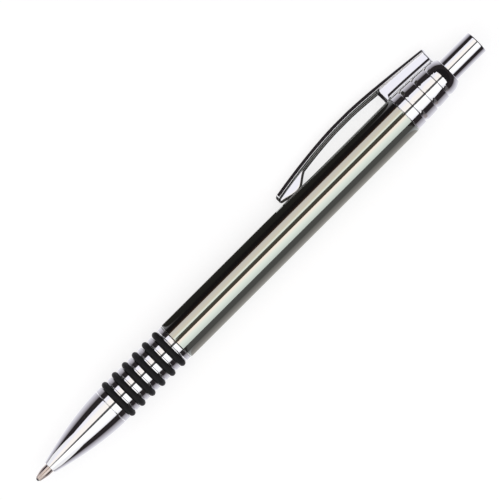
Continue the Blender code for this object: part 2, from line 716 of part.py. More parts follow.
def make_clip(pen):
    """The springing arm and the block that holds it: a strip over a narrower web, split where it bends."""
    arm_to = CLIP_ROOT_AT - SEAT_GAP
    hinge = Vector((0.0, (clip_top(CLIP_ROOT_AT) - CLIP_THICKNESS * 0.5) * MM, CLIP_ROOT_AT * MM))
    outline = strip_outline(CLIP_TIP_AT, arm_to, CLIP_OUTLINE_STEPS)
    mesh = flat_outline("clip_arm", outline, CLIP_WIDTH * 0.5)
    mesh.transform(Matrix.Translation(-hinge))
    arm = add_object("clip_arm", mesh, "chrome", pen)
    arm.location = hinge
    round_edges(arm, CLIP_EDGE_R)
    foot_from = CLIP_TIP_AT + WEB_EDGE_R
    heights = heights_between(foot_from, CLIP_TIP_AT + FOOT_LENGTH, 14)
    outline = [(clip_top(height) - CLIP_THICKNESS + WEB_BITE, height) for height in reversed(heights)]
    outline += [(foot_underside(height), height) for height in heights]
    foot = add_cutter("clip_foot", flat_outline("clip_foot", outline, WEB_WIDTH * 0.5))
    round_edges(foot, WEB_EDGE_R)
    boolean(arm, foot, "UNION")

    block = add_object(
        "clip_block",
        flat_outline("clip_block", strip_outline(CLIP_ROOT_AT, BLOCK_TO, 8), CLIP_WIDTH * 0.5),
        "chrome",
        pen,
    )
    round_edges(block, CLIP_EDGE_R)
    heights = heights_between(CLIP_ROOT_AT, BLOCK_TO, 8)
    outline = [(clip_top(height) - CLIP_THICKNESS + WEB_BITE, height) for height in reversed(heights)]
    outline += [
        (CLIP_UNDERSIDE_R, CLIP_ROOT_AT),
        (CLIP_UNDERSIDE_R, BARREL_TO),
        (HOUSING_CHAMBER_R, BARREL_TO),
        (HOUSING_CHAMBER_R, BLOCK_TO - BLOCK_INSET),
        (clip_top(BLOCK_TO) - CLIP_THICKNESS - BLOCK_HEEL_DROP, BLOCK_TO),
    ]
    web = add_cutter("clip_web", flat_outline("clip_web", outline, WEB_WIDTH * 0.5))
    boolean(block, web, "UNION")
    low = BARREL_TO - HOUSING_EDGE_R
    high = HOUSING_TO + HOUSING_EDGE_R
    room = [(BARREL_R + SEAT_GAP, low), (BARREL_R + SEAT_GAP, HOUSING_FROM)] + housing_outline(SEAT_GAP)
    room.append((room[-1][0], high))
    core_r = BUTTON_R * 0.5
    clearance = turned_cutter("housing_room", room, [(core_r, low), (core_r, high)])
    boolean(block, clearance, "DIFFERENCE")
    half = TONGUE_WIDTH * 0.5
    tongue_low = (-half, HOUSING_CHAMBER_R + SLIDE_GAP, TONGUE_FROM)
    tongue_high = (half, HOUSING_FOOT_R + HOUSING_EDGE_R, TONGUE_TO)
    tongue = add_cutter("clip_tongue", box_mesh("clip_tongue", tongue_low, tongue_high))
    boolean(block, tongue, "UNION")


def lay_down(pen):
    """Lay the pen along +X and roll it until its rings and its clip's edge touch the floor."""
    across = CLIP_WIDTH * 0.5 - CLIP_EDGE_R
    up = CLIP_CREST_R - CLIP_EDGE_R
    roll = math.asin((RING_R - CLIP_EDGE_R) / math.hypot(across, up)) - math.atan2(across, up)
    lie = Matrix.Rotation(math.radians(90.0), 4, "Y")
    pen.matrix_world = Matrix.Rotation(-roll, 4, "X") @ lie
    bpy.context.view_layer.update()
    graph = bpy.context.evaluated_depsgraph_get()
    low = Vector((math.inf, math.inf, math.inf))
    high = -low
    for piece in bpy.data.collections["click_pen"].objects:
        if piece.type == "EMPTY":
            continue
        shown = piece.evaluated_get(graph)
        mesh = shown.to_mesh()
        for vertex in mesh.vertices:
            place = shown.matrix_world @ vertex.co
            low = Vector(map(min, low, place))
            high = Vector(map(max, high, place))
        shown.to_mesh_clear()
    shift = Vector((-(low.x + high.x) * 0.5, -(low.y + high.y) * 0.5, -low.z))
    pen.matrix_world = Matrix.Translation(shift) @ pen.matrix_world
    bpy.context.view_layer.update()


def build():
    for old in list(bpy.data.objects):
        bpy.data.objects.remove(old)
    for name in ("click_pen", "cutters"):
        bpy.context.scene.collection.children.link(bpy.data.collections.new(name))
    pen = bpy.data.objects.new("pen", None)
    bpy.data.collections["click_pen"].objects.link(pen)
    make_refill(pen)
    make_spring(pen)
    make_nose(pen)
    make_grip(pen)
    make_barrel(pen)
    make_housing(pen)
    make_click_parts(pen)
    make_button(pen)
    make_clip(pen)
    lay_down(pen)


build()
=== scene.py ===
"""The looks of a click pen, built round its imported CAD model.

The pen lies along X with its writing tip at the low end. Its surfaces are worked out in millimetres in
the pen's own measures: "across" is the clip's width, "up" points from the pen's axis to the clip, and
"along" runs from the writing tip to the push button. row_places turns them into metres in the row frame.
"""

import json
import math

import bmesh
import bpy
import numpy as np
from bpy.props import FloatProperty, FloatVectorProperty, IntProperty, PointerProperty
from mathutils import Matrix, Vector


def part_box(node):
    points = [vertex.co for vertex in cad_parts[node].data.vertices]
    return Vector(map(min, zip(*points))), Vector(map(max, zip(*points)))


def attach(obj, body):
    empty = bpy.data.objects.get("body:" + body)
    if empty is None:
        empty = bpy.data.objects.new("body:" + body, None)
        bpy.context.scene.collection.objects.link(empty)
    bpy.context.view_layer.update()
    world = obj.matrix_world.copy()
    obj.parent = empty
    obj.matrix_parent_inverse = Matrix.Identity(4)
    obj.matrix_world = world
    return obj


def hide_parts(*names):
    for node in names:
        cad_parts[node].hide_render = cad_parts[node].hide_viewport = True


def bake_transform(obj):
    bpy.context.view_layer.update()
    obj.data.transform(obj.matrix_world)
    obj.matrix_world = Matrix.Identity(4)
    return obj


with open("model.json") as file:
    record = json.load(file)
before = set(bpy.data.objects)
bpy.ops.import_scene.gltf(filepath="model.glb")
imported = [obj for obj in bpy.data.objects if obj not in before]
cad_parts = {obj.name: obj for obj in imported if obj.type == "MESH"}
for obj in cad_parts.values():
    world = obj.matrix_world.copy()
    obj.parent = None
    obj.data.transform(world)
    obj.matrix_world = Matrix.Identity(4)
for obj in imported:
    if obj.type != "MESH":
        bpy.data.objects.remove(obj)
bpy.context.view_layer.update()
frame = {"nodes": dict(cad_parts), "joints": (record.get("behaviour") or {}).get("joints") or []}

bl_info = {
    "name": "Click pen",
    "version": (1, 0, 0),
    "blender": (4, 5, 0),
    "location": "3D View > Sidebar > Click pen",
    "description": "Finished surfaces and finishes for a click pen's CAD model",
    "category": "Object",
}

MM = 0.001
JOINTS = {joint["name"]: joint for joint in frame["joints"]}
ALONG = -np.array(JOINTS["button_press"]["axis"], float)
ACROSS = np.array(JOINTS["clip_flex"]["axis"], float)
UP = np.cross(ALONG, ACROSS)
TIP = np.array(JOINTS["ball_roll"]["pos_m"], float)
TIP[0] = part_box("refill_ball")[0].x


def row_places(across, up, along):
    """Places in the row frame, in metres: the tip plus each measure times its own direction."""
    across, up, along = np.broadcast_arrays(across, up, along)
    return TIP + MM * (across[..., None] * ACROSS + up[..., None] * UP + along[..., None] * ALONG)


def row_place(across, up, along):
    return tuple(float(value) for value in row_places(across, up, along))


def measures(node):
    """A CAD node's vertices as rows of across, up and along, in millimetres."""
    mesh = frame["nodes"][node].data
    places = np.empty(len(mesh.vertices) * 3, np.float32)
    mesh.vertices.foreach_get("co", places)
    from_tip = (places.reshape(-1, 3) - TIP) / MM
    return from_tip @ np.stack((ACROSS, UP, ALONG), axis=1)


def span(node):
    """Where a CAD node starts and ends along the pen, in millimetres from the tip."""
    along = measures(node)[:, 2]
    return float(along.min()), float(along.max())


def reach(node):
    """A CAD node's greatest distance from the pen's axis, in millimetres."""
    return float(np.hypot(*measures(node)[:, :2].T).max())


def metric(label, about, metres):
    return FloatProperty(name=label, description=about, default=metres, unit="LENGTH")


class ClickPenSizes(bpy.types.PropertyGroup):
    """Sizes that the surfaces add to those of the CAD model."""

    round_steps: IntProperty(
        name="Round steps", description="Facets round each turned piece", default=144, min=24, max=256
    )
    edge: metric("Edge", "How far each turned corner is softened", 0.00006)
    nose_mouth: metric("Nose mouth", "Outer radius of the nose at its mouth", 0.0016)
    nose_fullness: FloatProperty(
        name="Nose fullness", description="Power of the nose's swelling curve", default=1.7, min=1.0, max=3.0
    )
    ring_section: metric("Ring section", "Radius of a grip ring's round section", 0.00075)
    land_step: metric("Land step", "Depth of the step beside each ring", 0.00012)
    groove_depth: metric("Groove depth", "Depth of the housing's grooves at their wall", 0.0004)
    groove_length: metric("Groove length", "Length of each groove along the pen", 0.00105)
    strip_draft: metric("Strip draft", "How far the clip's top edges lean in", 0.00023)
    web_fillet: metric("Web fillet", "Hollow radius at the clip block's foot", 0.0019)
    wire: metric("Spring wire", "Radius of the return spring's wire", 0.000175)


def tone(label, about, colour):
    return FloatVectorProperty(
        name=label, description=about, default=colour, size=3, subtype="COLOR", min=0.0, max=1.0
    )


class ClickPenColours(bpy.types.PropertyGroup):
    """Colours of the pen's finishes and of the stage."""

    chrome: tone("Chrome", "Bright plate of the nose, grip, housing, clip and button", (0.88, 0.88, 0.90))
    # Barrel plate colours: partly the smoke plate's own tint and partly painted reflection. The warm and cool
    # tints and their two painted bands lie by side of the barrel, and the painted shade stands for a dark
    # reflection far round on the clip's side.
    plate_warm: tone("Plate, warm", "Smoke plate of the barrel on the clip's side", (0.54, 0.52, 0.44))
    plate_warm_painted_band: tone("Plate, warm painted band", "Its warm half beside the barrel's middle",
                          (0.66, 0.74, 0.7))
    plate_painted_shade: tone("Plate, painted shade", "Its darkest part, far round on the clip's side", (0.3, 0.31, 0.29))
    plate_cool: tone("Plate, cool", "Smoke plate of the barrel away from the clip", (0.56, 0.61, 0.55))
    plate_cool_painted_band: tone("Plate, cool painted band", "Its cool half beside the barrel's middle",
                          (0.68, 0.60, 0.52))
    rubber: tone("Rubber", "Grip rings", (0.012, 0.012, 0.013))
    brass: tone("Brass", "Threaded nut inside the barrel", (0.72, 0.53, 0.28))
    point: tone("Point", "Refill's writing point", (0.64, 0.545, 0.5))
    steel: tone("Steel", "Refill tube and return spring", (0.55, 0.56, 0.58))
    carbide: tone("Ball", "Writing ball", (0.05, 0.05, 0.055))
    pale_nylon: tone("Pale nylon", "Fixed cam sleeve", (0.80, 0.80, 0.78))
    dark_nylon: tone("Dark nylon", "Cam rotor and plunger", (0.06, 0.06, 0.065))
    floor: tone("Floor", "Pale studio floor", (0.36, 0.36, 0.365))


def softened(corners, closed=True, steps=6):
    """A polyline with soft corners, from rows of (x, y, setback).

    Each corner p becomes the parabola p + a t (1 - u)^2 + b t u^2, where a and b point to its two
    neighbours, t is its setback and u runs from 0 to 1. One more point half a setback further out on
    each side keeps the flats flat. On an open line the first and last points stay as they are.
    """
    rows = np.asarray(corners, float)
    points, setback = rows[:, :2], np.maximum(rows[:, 2], 0.004)[:, None, None]
    before = np.roll(points, 1, axis=0) - points
    after = np.roll(points, -1, axis=0) - points
    before /= np.maximum(np.linalg.norm(before, axis=1, keepdims=True), 1e-9)
    after /= np.maximum(np.linalg.norm(after, axis=1, keepdims=True), 1e-9)
    share = np.linspace(0.0, 1.0, steps)[None, :, None]
    bend = setback * (before[:, None] * (1.0 - share) ** 2 + after[:, None] * share**2)
    lead, trail = 1.5 * setback * before[:, None], 1.5 * setback * after[:, None]
    bend = points[:, None] + np.concatenate((lead, bend, trail), axis=1)
    if closed:
        return bend.reshape(-1, 2)
    return np.concatenate((points[:1], bend[1:-1].reshape(-1, 2), points[-1:]))


def turned(profile, steps):
    """A profile of (radius, along) rows carried round the pen's axis, as a grid of places."""
    angle = np.linspace(0.0, math.tau, steps, endpoint=False)
    radius, along = profile[:, :1], profile[:, 1:]
    return row_places(radius * np.cos(angle), radius * np.sin(angle), along)


def add_piece(name, grid, finish, loop=True):
    """A mesh over a grid of places, closed round its columns and, for a loop, along its rows too.

    Rows that have drawn together to one point are merged into a pole, and the faces are then turned
    outwards.
    """
    rows, columns = grid.shape[:2]
    row, column = np.meshgrid(np.arange(rows if loop else rows - 1), np.arange(columns), indexing="ij")
    next_row, next_column = (row + 1) % rows, (column + 1) % columns
    faces = np.stack(
        (row * columns + column, row * columns + next_column,
         next_row * columns + next_column, next_row * columns + column), axis=-1
    )
    mesh = bpy.data.meshes.new(name)
    mesh.from_pydata(grid.reshape(-1, 3).tolist(), [], faces.reshape(-1, 4).tolist())
    shape = bmesh.new()
    shape.from_mesh(mesh)
    bmesh.ops.remove_doubles(shape, verts=shape.verts, dist=0.0000002)
    bmesh.ops.recalc_face_normals(shape, faces=shape.faces)
    shape.to_mesh(mesh)
    shape.free()
    mesh.polygons.foreach_set("use_smooth", np.ones(len(mesh.polygons), bool))
    mesh.materials.append(finish)
    piece = bpy.data.objects.new(name, mesh)
    bpy.context.scene.collection.objects.link(piece)
    return piece


# Shader groups and finishes.


def new_group(name, inputs, outputs):
    """An empty shader group with named sockets, and its input and output nodes."""
    group = bpy.data.node_groups.new(name, "ShaderNodeTree")
    for label, kind, value in inputs:
        socket = group.interface.new_socket(name=label, in_out="INPUT", socket_type=f"NodeSocket{kind}")
        if value is not None:
            socket.default_value = value
    for label, kind in outputs:
        group.interface.new_socket(name=label, in_out="OUTPUT", socket_type=f"NodeSocket{kind}")
    return group, group.nodes.new("NodeGroupInput"), group.nodes.new("NodeGroupOutput")


def link(tree, source, target):
    tree.links.new(source, target)


def math_node(tree, operation, first, second):
    """A Math node; each side is a socket or a number."""
    node = tree.nodes.new("ShaderNodeMath")
    node.operation = operation
    for socket, value in zip(node.inputs, (first, second)):
        if isinstance(value, (int, float)):
            socket.default_value = value
        else:
            link(tree, value, socket)
    return node.outputs[0]


def noise_node(tree, place, scale, detail):
    """Noise over a place; the scale is a socket or a number."""
    node = tree.nodes.new("ShaderNodeTexNoise")
    node.inputs["Detail"].default_value = detail
    link(tree, place, node.inputs["Vector"])
    if isinstance(scale, (int, float)):
        node.inputs["Scale"].default_value = scale
    else:
        link(tree, scale, node.inputs["Scale"])
    return node.outputs["Fac"]


def mix_colours(tree, share, first, second):
    node = tree.nodes.new("ShaderNodeMix")
    node.data_type = "RGBA"
    link(tree, share, node.inputs["Factor"])
    link(tree, first, node.inputs[6])
    link(tree, second, node.inputs[7])
    return node.outputs[2]


def range_node(tree, value, low, high, to_low, to_high):
    """Carries a value smoothly from one range to another."""
    node = tree.nodes.new("ShaderNodeMapRange")
    node.interpolation_type = "SMOOTHSTEP"
    link(tree, value, node.inputs["Value"])
    for label, number in (("From Min", low), ("From Max", high), ("To Min", to_low), ("To Max", to_high)):
        node.inputs[label].default_value = number
    return node.outputs["Result"]


def buffed_group():
    """Buffed plate: soft cloudy changes of tone and gloss, with hairlines that run round the pen."""
    group, given, made = new_group(
        "Buffed plate",
        [("Place", "Vector", None), ("Bright", "Color", (0.9, 0.9, 0.9, 1.0)),
         ("Dull", "Color", (0.8, 0.8, 0.8, 1.0)), ("Gloss", "Float", 0.03), ("Haze", "Float", 0.03)],
        [("Colour", "Color"), ("Roughness", "Float"), ("Height", "Float")],
    )
    cloud = noise_node(group, given.outputs["Place"], 180.0, 3.0)
    stretch = group.nodes.new("ShaderNodeMapping")
    stretch.inputs["Scale"].default_value = (9000.0, 60.0, 60.0)
    link(group, given.outputs["Place"], stretch.inputs["Vector"])
    lines = noise_node(group, stretch.outputs[0], 1.0, 2.0)
    mixed = mix_colours(group, cloud, given.outputs["Bright"], given.outputs["Dull"])
    link(group, mixed, made.inputs["Colour"])
    haze = math_node(group, "MULTIPLY", math_node(group, "MULTIPLY", cloud, lines), given.outputs["Haze"])
    link(group, math_node(group, "ADD", haze, given.outputs["Gloss"]), made.inputs["Roughness"])
    link(group, lines, made.inputs["Height"])
    return group


def turned_group():
    """Turned metal: fine tool rings along the pen with a little stain between them."""
    group, given, made = new_group(
        "Turned metal",
        [("Place", "Vector", None), ("Bright", "Color", (0.7, 0.7, 0.7, 1.0)),
         ("Stain", "Color", (0.4, 0.4, 0.4, 1.0)), ("Rings", "Float", 4000.0), ("Gloss", "Float", 0.2)],
        [("Colour", "Color"), ("Roughness", "Float"), ("Height", "Float")],
    )
    rings = group.nodes.new("ShaderNodeTexWave")
    rings.wave_type = "BANDS"
    rings.bands_direction = "X"
    rings.inputs["Distortion"].default_value = 1.5
    rings.inputs["Detail"].default_value = 2.0
    link(group, given.outputs["Rings"], rings.inputs["Scale"])
    link(group, given.outputs["Place"], rings.inputs["Vector"])
    stain = range_node(group, noise_node(group, given.outputs["Place"], 700.0, 4.0), 0.35, 0.75, 0.0, 0.6)
    mixed = mix_colours(group, stain, given.outputs["Bright"], given.outputs["Stain"])
    link(group, mixed, made.inputs["Colour"])
    dull = math_node(group, "MULTIPLY", stain, 0.2)
    link(group, math_node(group, "ADD", dull, given.outputs["Gloss"]), made.inputs["Roughness"])
    link(group, rings.outputs["Fac"], made.inputs["Height"])
    return group


def moulded_group():
    """Moulded rubber or nylon: fine grain, with paler dust that gathers in soft patches."""
    group, given, made = new_group(
        "Moulded skin",
        [("Place", "Vector", None), ("Body", "Color", (0.02, 0.02, 0.02, 1.0)),
         ("Dust", "Color", (0.1, 0.1, 0.1, 1.0)), ("Grain", "Float", 9000.0), ("Matt", "Float", 0.5)],
        [("Colour", "Color"), ("Roughness", "Float"), ("Height", "Float")],
    )
    patches = range_node(group, noise_node(group, given.outputs["Place"], 500.0, 4.0), 0.45, 0.8, 0.0,
                         0.5)
    grain = noise_node(group, given.outputs["Place"], given.outputs["Grain"], 3.0)
    mixed = mix_colours(group, patches, given.outputs["Body"], given.outputs["Dust"])
    link(group, mixed, made.inputs["Colour"])
    rough = math_node(group, "MULTIPLY", grain, 0.2)
    link(group, math_node(group, "ADD", rough, given.outputs["Matt"]), made.inputs["Roughness"])
    link(group, grain, made.inputs["Height"])
    return group


def plate_tint_and_painted_reflection_group():
    """Smoke plate tint with painted reflection: the colour changes across the barrel, warm on the clip's half
    and cool on the other; it is partly the plate's own tint and partly painted reflection.

    Beside the barrel's middle each half changes to a painted reflection band of its own, and the warm
    half ends in a painted shade, a dark reflection painted far round on the clip's side.
    """
    group, given, made = new_group(
        "Plate tint and painted reflections",
        [("Place", "Vector", None), ("Warm", "Color", (0.5, 0.45, 0.4, 1.0)),
         ("Warm painted band", "Color", (0.5, 0.5, 0.5, 1.0)), ("Shade", "Color", (0.2, 0.2, 0.2, 1.0)),
         ("Cool", "Color", (0.4, 0.5, 0.45, 1.0)),
         ("Cool painted band", "Color", (0.6, 0.5, 0.5, 1.0)), ("Middle", "Float", 0.0),
         ("Width", "Float", 0.005)],
        [("Colour", "Color")],
    )
    parts = group.nodes.new("ShaderNodeSeparateXYZ")
    link(group, given.outputs["Place"], parts.inputs[0])
    from_middle = math_node(group, "SUBTRACT", parts.outputs["Y"], given.outputs["Middle"])
    share = math_node(group, "DIVIDE", from_middle, given.outputs["Width"])
    # Painted reflection bands: the tint is set by the place across the barrel, as one view's reflections
    # fall.
    warm_run = range_node(group, share, 0.14, 0.24, 0.0, 1.0)
    cool_run = range_node(group, share, -0.26, -0.08, 0.0, 1.0)
    halves = range_node(group, share, 0.0, 0.06, 0.0, 1.0)
    # Painted shade: far round on the clip's side the warm half darkens to stand for a dark reflection.
    painted_shade_run = range_node(group, share, 0.44, 0.6, 0.0, 1.0)
    warm = mix_colours(group, warm_run, given.outputs["Warm painted band"], given.outputs["Warm"])
    warm = mix_colours(group, painted_shade_run, warm, given.outputs["Shade"])
    cool = mix_colours(group, cool_run, given.outputs["Cool"], given.outputs["Cool painted band"])
    link(group, mix_colours(group, halves, cool, warm), made.inputs["Colour"])
    return group


GROUP_MAKERS = {
    "Buffed plate": buffed_group,
    "Turned metal": turned_group,
    "Moulded skin": moulded_group,
    "Plate tint and painted reflections": plate_tint_and_painted_reflection_group,
}


def placed_group(tree, name, place, values):
    """Puts a shader group into a material, with its place and its own values."""
    node = tree.nodes.new("ShaderNodeGroup")
    node.node_tree = bpy.data.node_groups.get(name) or GROUP_MAKERS[name]()
    link(tree, place, node.inputs["Place"])
    for label, value in values.items():
        node.inputs[label].default_value = (*value, 1.0) if isinstance(value, tuple) else value
    return node


def finish(name, group, values, bump, metallic):
    """A material whose colour, roughness and bump come from a shader group, made once and shared."""
    found = bpy.data.materials.get(name)
    if found:
        return found
    made = bpy.data.materials.new(name)
    made.use_nodes = True
    tree = made.node_tree
    shader = tree.nodes["Principled BSDF"]
    shader.inputs["Metallic"].default_value = metallic
    place = tree.nodes.new("ShaderNodeTexCoord").outputs["Object"]
    node = placed_group(tree, group, place, values)
    link(tree, node.outputs["Colour"], shader.inputs["Base Color"])
    link(tree, node.outputs["Roughness"], shader.inputs["Roughness"])
    relief = tree.nodes.new("ShaderNodeBump")
    relief.inputs["Strength"].default_value = bump
    relief.inputs["Distance"].default_value = 0.00001
    link(tree, node.outputs["Height"], relief.inputs["Height"])
    link(tree, relief.outputs["Normal"], shader.inputs["Normal"])
    return made


def shade_of(colour, share):
    return tuple(min(1.0, value * share) for value in colour)


def chrome_finish():
    colour = tuple(bpy.context.scene.click_pen_colours.chrome)
    values = {"Bright": colour, "Dull": shade_of(colour, 0.94), "Gloss": 0.015, "Haze": 0.04}
    return finish("bright_chrome", "Buffed plate", values, 0.008, 1.0)


def smoke_finish():
    """Smoke plate: the buffed group's gloss and relief, coloured by the plate tint with its painted
    reflection bands and painted shade.
    """
    found = bpy.data.materials.get("smoke_plate")
    if found:
        return found
    colours = bpy.context.scene.click_pen_colours
    warm, cool = tuple(colours.plate_warm), tuple(colours.plate_cool)
    values = {"Bright": cool, "Dull": cool, "Gloss": 0.02, "Haze": 0.03}
    made = finish("smoke_plate", "Buffed plate", values, 0.008, 1.0)
    tree = made.node_tree
    place = next(node for node in tree.nodes if node.type == "TEX_COORD").outputs["Object"]
    # Plate tints with painted reflection bands and a painted shade, laid across the barrel by side.
    drift = {"Warm": warm, "Warm painted band": tuple(colours.plate_warm_painted_band),
             "Shade": tuple(colours.plate_painted_shade), "Cool": cool,
             "Cool painted band": tuple(colours.plate_cool_painted_band), "Middle": float(TIP[1]),
             "Width": reach("barrel_tube") * MM}
    node = placed_group(tree, "Plate tint and painted reflections", place, drift)
    link(tree, node.outputs["Colour"], tree.nodes["Principled BSDF"].inputs["Base Color"])
    return made


def turned_finish(name, colour, rings, gloss):
    colour = tuple(colour)
    values = {"Bright": colour, "Stain": shade_of(colour, 0.6), "Rings": rings, "Gloss": gloss}
    return finish(name, "Turned metal", values, 0.15, 1.0)


def moulded_finish(name, colour, grain, matt, sheen=0.5):
    """Moulded skin; sheen is the strength of its surface reflection."""
    colour = tuple(colour)
    dust = tuple(1.1 * value + 0.004 for value in colour)
    values = {"Body": colour, "Dust": dust, "Grain": grain, "Matt": matt}
    made = finish(name, "Moulded skin", values, 0.3, 0.0)
    made.node_tree.nodes["Principled BSDF"].inputs["Specular IOR Level"].default_value = sheen
    return made


# Pieces of the front section.


class CLICKPEN_OT_nose_shell(bpy.types.Operator):
    """The tapered nose, from its mouth round the refill to its joint with the grip"""

    bl_idname = "click_pen.nose_shell"
    bl_label = "Nose shell"

    def execute(self, context):
        """Its radius is the grip's, less a power of the share of the nose that is left ahead."""
        sizes = context.scene.click_pen_sizes
        low, high = span("nose_cone")
        wide, mouth, edge = reach("grip_sleeve"), sizes.nose_mouth / MM, sizes.edge / MM

        def radius(along):
            return wide - (wide - mouth) * ((high - along) / (high - low)) ** sizes.nose_fullness

        bore, chamber, socket = mouth - 0.25, 2.4, 3.85
        shelf, seat = low + 5.45, high - 5.65
        lip = softened(
            [(bore, shelf - 0.5, 0), (bore, low, 0.05), (mouth - 0.01, low, 0.1),
             (radius(low + 0.4), low + 0.4, 0)],
            closed=False,
        )
        along = np.linspace(low + 0.5, high - 0.3, 90)
        swell = np.stack((radius(along), along), axis=1)
        inside = softened(
            [(radius(high - 0.2), high - 0.2, 0), (wide, high, edge), (socket, high, edge),
             (socket, seat, 0.05),
             (chamber, seat, 0.05), (chamber, shelf, 0.05), (bore, shelf, 0.05), (bore, shelf - 0.4, 0)],
            closed=False,
        )
        profile = np.concatenate((lip, swell, inside))
        piece = add_piece("nose_shell", turned(profile, sizes.round_steps), chrome_finish())
        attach(piece, "front_section")
        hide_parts("nose_cone")
        return {"FINISHED"}


def ring_stations():
    """The middle of each grip ring along the pen, and the groove's half length."""
    middles = [sum(span(f"grip_ring_{number}")) * 0.5 for number in range(1, 7)]
    return middles, 0.85


class CLICKPEN_OT_grip_core(bpy.types.Operator):
    """The grip's metal core: a groove for each ring, small steps on its lands, and its threaded spigot"""

    bl_idname = "click_pen.grip_core"
    bl_label = "Grip core"

    def execute(self, context):
        """The spigot's radius falls by the thread's depth as a raised cosine of two starts' turn."""
        sizes = context.scene.click_pen_sizes
        edge, step = sizes.edge / MM, sizes.land_step / MM
        wide, floor = reach("grip_sleeve"), reach("grip_ring_1") - 4.0 * sizes.ring_section / MM * 0.5 - 0.15
        low, high = span("grip_sleeve")
        middles, half = ring_stations()
        face, shoulder = span("nose_cone")[1] + 0.15, middles[-1] + half + 0.2
        nose_spigot, spigot, bore = 3.7, 3.6, 2.4
        corners = [(bore, low, edge), (nose_spigot, low, edge), (nose_spigot, face, edge),
                   (wide, face, edge)]
        for number, middle in enumerate(middles):
            start, end = middle - half, middle + half
            corners += [(wide, start, edge), (floor, start, edge), (floor, end, edge)]
            if number < len(middles) - 1:
                corners += [(wide - step, end, 0.03), (wide - step, end + 0.25, 0.03),
                            (wide, end + 0.4, 0.03)]
            else:
                corners.append((wide, end, 0.03))
        corners += [(wide, shoulder, edge), (spigot - 0.3, shoulder, edge), (spigot - 0.3, high, 0.1),
                    (bore, high, edge)]
        core = add_piece("grip_core", turned(softened(corners), sizes.round_steps), chrome_finish())
        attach(core, "front_section")
        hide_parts("grip_sleeve")

        lead, starts, depth = 1.5, 2, 0.16
        along = np.linspace(shoulder + 0.3, high - 0.2, 150)[:, None]
        angle = np.linspace(0.0, math.tau, 96, endpoint=False)[None]
        wave = np.cos(starts * (math.tau * along / lead + angle))
        radius = spigot - depth * (0.5 - 0.5 * wave)
        inner = spigot - 0.35
        ends = [np.full((1, 96), inner), radius, np.full((1, 96), inner)]
        radius, along = np.concatenate(ends), np.concatenate((along[:1], along, along[-1:]))
        grid = row_places(radius * np.cos(angle), radius * np.sin(angle), along)
        thread = add_piece("grip_thread", grid, chrome_finish())
        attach(thread, "front_section")
        return {"FINISHED"}


class CLICKPEN_OT_grip_rings(bpy.types.Operator):
    """The six rubber grip rings, each with the faint flash line of its mould"""

    bl_idname = "click_pen.grip_rings"
    bl_label = "Grip rings"

    def execute(self, context):
        """A circle carried round the pen; its radius swells by a narrow bell curve at the flash line."""
        sizes = context.scene.click_pen_sizes
        section = sizes.ring_section / MM
        rubber = moulded_finish("grip_rubber", context.scene.click_pen_colours.rubber, 9000.0, 0.42, 0.14)
        angle = np.linspace(-math.pi, math.pi, 72, endpoint=False)
        swelling = section * (1.0 + 0.012 * np.exp(-((angle / 0.07) ** 2)))
        for number, middle in enumerate(ring_stations()[0], start=1):
            centre = reach(f"grip_ring_{number}") - section
            profile = np.stack((centre + swelling * np.cos(angle), middle + swelling * np.sin(angle)),
                               axis=1)
            ring = add_piece(f"o_ring_{number}", turned(profile, sizes.round_steps), rubber)
            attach(ring, "front_section")
            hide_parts(f"grip_ring_{number}")
        return {"FINISHED"}


# Pieces of the casing.


def tube(name, node, bore, edge, finish_made, body):
    """A plain tube over a CAD node's length, with softened rims."""
    low, high = span(node)
    wide = reach(node)
    corners = [(bore, low, edge), (wide, low, edge), (wide, high, edge), (bore, high, edge)]
    steps = bpy.context.scene.click_pen_sizes.round_steps
    piece = add_piece(name, turned(softened(corners), steps), finish_made)
    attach(piece, body)
    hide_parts(node)
    return piece


class CLICKPEN_OT_barrel(bpy.types.Operator):
    """The barrel, the bright band before it and the brass nut inside it"""

    bl_idname = "click_pen.barrel"
    bl_label = "Barrel"

    def execute(self, context):
        """Tubes; the nut's bore also falls and rises as a triangle wave along it, for its thread."""
        sizes = context.scene.click_pen_sizes
        edge = sizes.edge / MM
        tube("trim_band", "trim_ring", 3.75, 2.0 * edge, chrome_finish(), "trim")
        tube("barrel_shell", "barrel_tube", 4.4, edge, smoke_finish(), "casing")
        low, high = span("barrel_bush")
        wide, bore, pitch = reach("barrel_bush"), 3.75, 0.75
        brass = turned_finish("nut_brass", context.scene.click_pen_colours.brass, 2500.0, 0.18)
        rims = softened([(bore, low + 0.3, 0), (bore + 0.1, low, edge), (wide, low, edge),
                         (wide, high, edge),
                         (bore + 0.1, high, edge), (bore, high - 0.3, 0)], closed=False)
        along = np.linspace(high - 0.35, low + 0.35, 160)
        depth = 0.14 * np.abs(2.0 * ((along / pitch) % 1.0) - 1.0)
        profile = np.concatenate((rims, np.stack((bore + depth, along), axis=1)))
        nut = add_piece("barrel_nut", turned(profile, 96), brass)
        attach(nut, "casing")
        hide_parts("barrel_bush")
        return {"FINISHED"}


def housing_radius(along):
    """The housing narrows from its foot as a power of the share of its length."""
    low, high = housing_span()
    foot, narrowing, power = reach("barrel_tube") - 0.09, 0.64, 1.45
    share = np.clip((along - low) / (high - low), 0.0, None)
    return foot - narrowing * share**power


def housing_span():
    return span("barrel_tube")[1] + 0.15, span("top_housing")[1]


